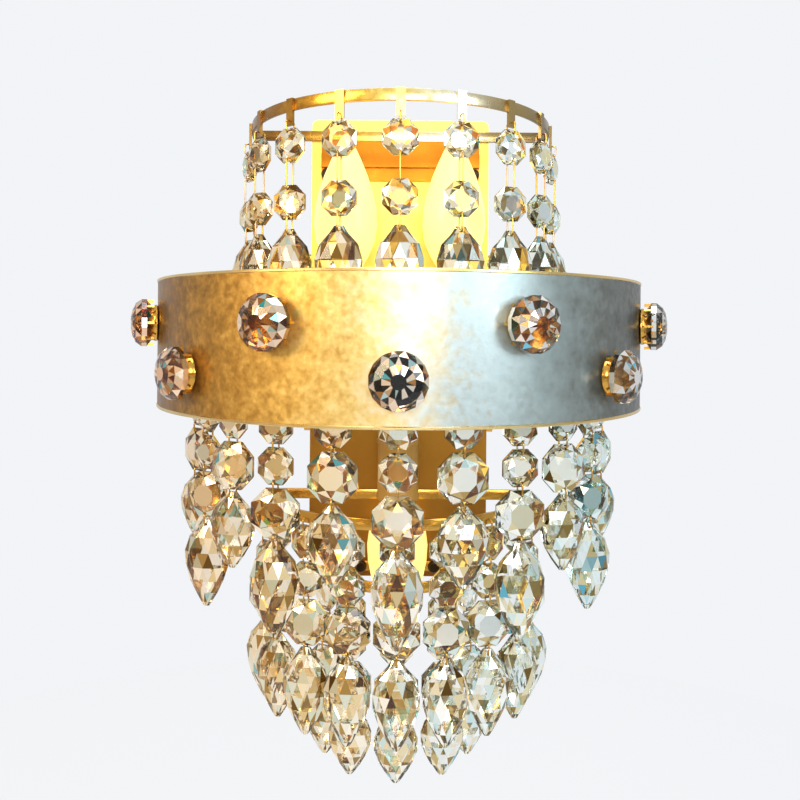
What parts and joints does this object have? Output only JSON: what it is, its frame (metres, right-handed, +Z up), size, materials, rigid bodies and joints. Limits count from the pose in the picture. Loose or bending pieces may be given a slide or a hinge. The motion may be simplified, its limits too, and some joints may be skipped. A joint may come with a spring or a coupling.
{
  "type": "crystal wall sconce",
  "caption": "Half-round wall light with a studded metal band and stepped rows of hanging crystal beads and drops around candle bulbs.",
  "frame": {"origin": "centre of the four wall holes, on the wall plane", "axes": "+Z up, +Y into the wall, -Y out into the room"},
  "size_m": [0.2968, 0.176, 0.376],
  "materials": {
    "gold_plate": "polished gold plate",
    "brushed_gold": "brushed, gold shading to silver",
    "zinc_steel": "zinc plated",
    "dark_screws": "satin",
    "white_plastic": "moulded",
    "cable_sleeve": "smooth",
    "candle_sleeve": "smooth",
    "bulb_glass": "frosted, lit",
    "stud_crystal": "faceted",
    "crystal": "faceted"
  },
  "bodies": {
    "frame": {"backplate": "gold_plate", "wall_bracket": "zinc_steel", "side_screws": "gold_plate", "terminal_block": "white_plastic", "top_ring": "gold_plate", "band_ring": "gold_plate", "middle_ring": "gold_plate", "inner_ring": "gold_plate", "top_ring_bracket": "gold_plate", "frame_screws": "dark_screws", "frame_nuts": "zinc_steel", "band": "brushed_gold", "band_arms": "gold_plate", "band_stays": "gold_plate", "stud_bases": "gold_plate", "stud_nuts": "zinc_steel", "stud_crystals": "stud_crystal", "lamp_arms": "gold_plate", "arm_locknuts": "zinc_steel", "lamp_cables": "cable_sleeve", "lampholders": "candle_sleeve", "bulb_left": "bulb_glass", "bulb_right": "bulb_glass", "bulb_lower": "bulb_glass"},
    "top_strand_1": {"top_strand_1": "crystal"},
    "top_strand_2": {"top_strand_2": "crystal"},
    "top_strand_3": {"top_strand_3": "crystal"},
    "top_strand_4": {"top_strand_4": "crystal"},
    "top_strand_5": {"top_strand_5": "crystal"},
    "top_strand_6": {"top_strand_6": "crystal"},
    "top_strand_7": {"top_strand_7": "crystal"},
    "top_strand_8": {"top_strand_8": "crystal"},
    "top_strand_9": {"top_strand_9": "crystal"},
    "outer_strand_1": {"outer_strand_1": "crystal"},
    "outer_strand_2": {"outer_strand_2": "crystal"},
    "outer_strand_3": {"outer_strand_3": "crystal"},
    "outer_strand_4": {"outer_strand_4": "crystal"},
    "outer_strand_5": {"outer_strand_5": "crystal"},
    "outer_strand_6": {"outer_strand_6": "crystal"},
    "outer_strand_7": {"outer_strand_7": "crystal"},
    "outer_strand_8": {"outer_strand_8": "crystal"},
    "outer_strand_9": {"outer_strand_9": "crystal"},
    "outer_strand_10": {"outer_strand_10": "crystal"},
    "outer_strand_11": {"outer_strand_11": "crystal"},
    "middle_strand_1": {"middle_strand_1": "crystal"},
    "middle_strand_2": {"middle_strand_2": "crystal"},
    "middle_strand_3": {"middle_strand_3": "crystal"},
    "middle_strand_4": {"middle_strand_4": "crystal"},
    "middle_strand_5": {"middle_strand_5": "crystal"},
    "middle_strand_6": {"middle_strand_6": "crystal"},
    "middle_strand_7": {"middle_strand_7": "crystal"},
    "middle_strand_8": {"middle_strand_8": "crystal"},
    "middle_strand_9": {"middle_strand_9": "crystal"},
    "inner_strand_1": {"inner_strand_1": "crystal"},
    "inner_strand_2": {"inner_strand_2": "crystal"},
    "inner_strand_3": {"inner_strand_3": "crystal"},
    "inner_strand_4": {"inner_strand_4": "crystal"},
    "inner_strand_5": {"inner_strand_5": "crystal"}
  },
  "joints": [
    {"name": "top_swing_1", "type": "hinge", "parent": "frame", "child": "top_strand_1", "pos_m": [-0.08794, -0.03751, 0.1163], "axis": [-0.1736, 0.9848, 0], "range_deg": [-8, 15]},
    {"name": "top_swing_2", "type": "hinge", "parent": "frame", "child": "top_strand_2", "pos_m": [-0.07734, -0.06665, 0.1163], "axis": [-0.5, 0.866, 0], "range_deg": [-8, 15]},
    {"name": "top_swing_3", "type": "hinge", "parent": "frame", "child": "top_strand_3", "pos_m": [-0.0574, -0.09041, 0.1163], "axis": [-0.766, 0.6428, 0], "range_deg": [-8, 15]},
    {"name": "top_swing_4", "type": "hinge", "parent": "frame", "child": "top_strand_4", "pos_m": [-0.03054, -0.10591, 0.1163], "axis": [-0.9397, 0.342, 0], "range_deg": [-8, 15]},
    {"name": "top_swing_5", "type": "hinge", "parent": "frame", "child": "top_strand_5", "pos_m": [0, -0.1113, 0.1163], "axis": [-1, 0, 0], "range_deg": [-8, 15]},
    {"name": "top_swing_6", "type": "hinge", "parent": "frame", "child": "top_strand_6", "pos_m": [0.03054, -0.10591, 0.1163], "axis": [-0.9397, -0.342, 0], "range_deg": [-8, 15]},
    {"name": "top_swing_7", "type": "hinge", "parent": "frame", "child": "top_strand_7", "pos_m": [0.0574, -0.09041, 0.1163], "axis": [-0.766, -0.6428, 0], "range_deg": [-8, 15]},
    {"name": "top_swing_8", "type": "hinge", "parent": "frame", "child": "top_strand_8", "pos_m": [0.07734, -0.06665, 0.1163], "axis": [-0.5, -0.866, 0], "range_deg": [-8, 15]},
    {"name": "top_swing_9", "type": "hinge", "parent": "frame", "child": "top_strand_9", "pos_m": [0.08794, -0.03751, 0.1163], "axis": [-0.1736, -0.9848, 0], "range_deg": [-8, 15]},
    {"name": "outer_swing_1", "type": "hinge", "parent": "frame", "child": "outer_strand_1", "pos_m": [-0.11301, -0.05228, -0.025], "axis": [-0.2588, 0.9659, 0], "range_deg": [-4, 15]},
    {"name": "outer_swing_2", "type": "hinge", "parent": "frame", "child": "outer_strand_2", "pos_m": [-0.10132, -0.0805, -0.025], "axis": [-0.5, 0.866, 0], "range_deg": [-4, 15]},
    {"name": "outer_swing_3", "type": "hinge", "parent": "frame", "child": "outer_strand_3", "pos_m": [-0.08273, -0.10473, -0.025], "axis": [-0.7071, 0.7071, 0], "range_deg": [-4, 15]},
    {"name": "outer_swing_4", "type": "hinge", "parent": "frame", "child": "outer_strand_4", "pos_m": [-0.0585, -0.12333, -0.025], "axis": [-0.866, 0.5, 0], "range_deg": [-4, 15]},
    {"name": "outer_swing_5", "type": "hinge", "parent": "frame", "child": "outer_strand_5", "pos_m": [-0.03028, -0.13501, -0.025], "axis": [-0.9659, 0.2588, 0], "range_deg": [-4, 15]},
    {"name": "outer_swing_6", "type": "hinge", "parent": "frame", "child": "outer_strand_6", "pos_m": [0, -0.139, -0.025], "axis": [-1, 0, 0], "range_deg": [-4, 15]},
    {"name": "outer_swing_7", "type": "hinge", "parent": "frame", "child": "outer_strand_7", "pos_m": [0.03028, -0.13501, -0.025], "axis": [-0.9659, -0.2588, 0], "range_deg": [-4, 15]},
    {"name": "outer_swing_8", "type": "hinge", "parent": "frame", "child": "outer_strand_8", "pos_m": [0.0585, -0.12333, -0.025], "axis": [-0.866, -0.5, 0], "range_deg": [-4, 15]},
    {"name": "outer_swing_9", "type": "hinge", "parent": "frame", "child": "outer_strand_9", "pos_m": [0.08273, -0.10473, -0.025], "axis": [-0.7071, -0.7071, 0], "range_deg": [-4, 15]},
    {"name": "outer_swing_10", "type": "hinge", "parent": "frame", "child": "outer_strand_10", "pos_m": [0.10132, -0.0805, -0.025], "axis": [-0.5, -0.866, 0], "range_deg": [-4, 15]},
    {"name": "outer_swing_11", "type": "hinge", "parent": "frame", "child": "outer_strand_11", "pos_m": [0.11301, -0.05228, -0.025], "axis": [-0.2588, -0.9659, 0], "range_deg": [-4, 15]},
    {"name": "middle_swing_1", "type": "hinge", "parent": "frame", "child": "middle_strand_1", "pos_m": [-0.07568, -0.04087, -0.0915], "axis": [-0.2419, 0.9703, 0], "range_deg": [-4, 12]},
    {"name": "middle_swing_2", "type": "hinge", "parent": "frame", "child": "middle_strand_2", "pos_m": [-0.06542, -0.06448, -0.0915], "axis": [-0.5446, 0.8387, 0], "range_deg": [-4, 12]},
    {"name": "middle_swing_3", "type": "hinge", "parent": "frame", "child": "middle_strand_3", "pos_m": [-0.04802, -0.08346, -0.0915], "axis": [-0.788, 0.6157, 0], "range_deg": [-4, 12]},
    {"name": "middle_swing_4", "type": "hinge", "parent": "frame", "child": "middle_strand_4", "pos_m": [-0.02539, -0.09575, -0.0915], "axis": [-0.9455, 0.3256, 0], "range_deg": [-4, 12]},
    {"name": "middle_swing_5", "type": "hinge", "parent": "frame", "child": "middle_strand_5", "pos_m": [0, -0.1, -0.0915], "axis": [-1, 0, 0], "range_deg": [-4, 12]},
    {"name": "middle_swing_6", "type": "hinge", "parent": "frame", "child": "middle_strand_6", "pos_m": [0.02539, -0.09575, -0.0915], "axis": [-0.9455, -0.3256, 0], "range_deg": [-4, 12]},
    {"name": "middle_swing_7", "type": "hinge", "parent": "frame", "child": "middle_strand_7", "pos_m": [0.04802, -0.08346, -0.0915], "axis": [-0.788, -0.6157, 0], "range_deg": [-4, 12]},
    {"name": "middle_swing_8", "type": "hinge", "parent": "frame", "child": "middle_strand_8", "pos_m": [0.06542, -0.06448, -0.0915], "axis": [-0.5446, -0.8387, 0], "range_deg": [-4, 12]},
    {"name": "middle_swing_9", "type": "hinge", "parent": "frame", "child": "middle_strand_9", "pos_m": [0.07568, -0.04087, -0.0915], "axis": [-0.2419, -0.9703, 0], "range_deg": [-4, 12]},
    {"name": "inner_swing_1", "type": "hinge", "parent": "frame", "child": "inner_strand_1", "pos_m": [-0.04185, -0.0356, -0.1348], "axis": [-0.309, 0.9511, 0], "range_deg": [-3, 10]},
    {"name": "inner_swing_2", "type": "hinge", "parent": "frame", "child": "inner_strand_2", "pos_m": [-0.02586, -0.0576, -0.1348], "axis": [-0.809, 0.5878, 0], "range_deg": [-3, 10]},
    {"name": "inner_swing_3", "type": "hinge", "parent": "frame", "child": "inner_strand_3", "pos_m": [0, -0.066, -0.1348], "axis": [-1, 0, 0], "range_deg": [-3, 10]},
    {"name": "inner_swing_4", "type": "hinge", "parent": "frame", "child": "inner_strand_4", "pos_m": [0.02586, -0.0576, -0.1348], "axis": [-0.809, -0.5878, 0], "range_deg": [-3, 10]},
    {"name": "inner_swing_5", "type": "hinge", "parent": "frame", "child": "inner_strand_5", "pos_m": [0.04185, -0.0356, -0.1348], "axis": [-0.309, -0.9511, 0], "range_deg": [-3, 10]}
  ]
}
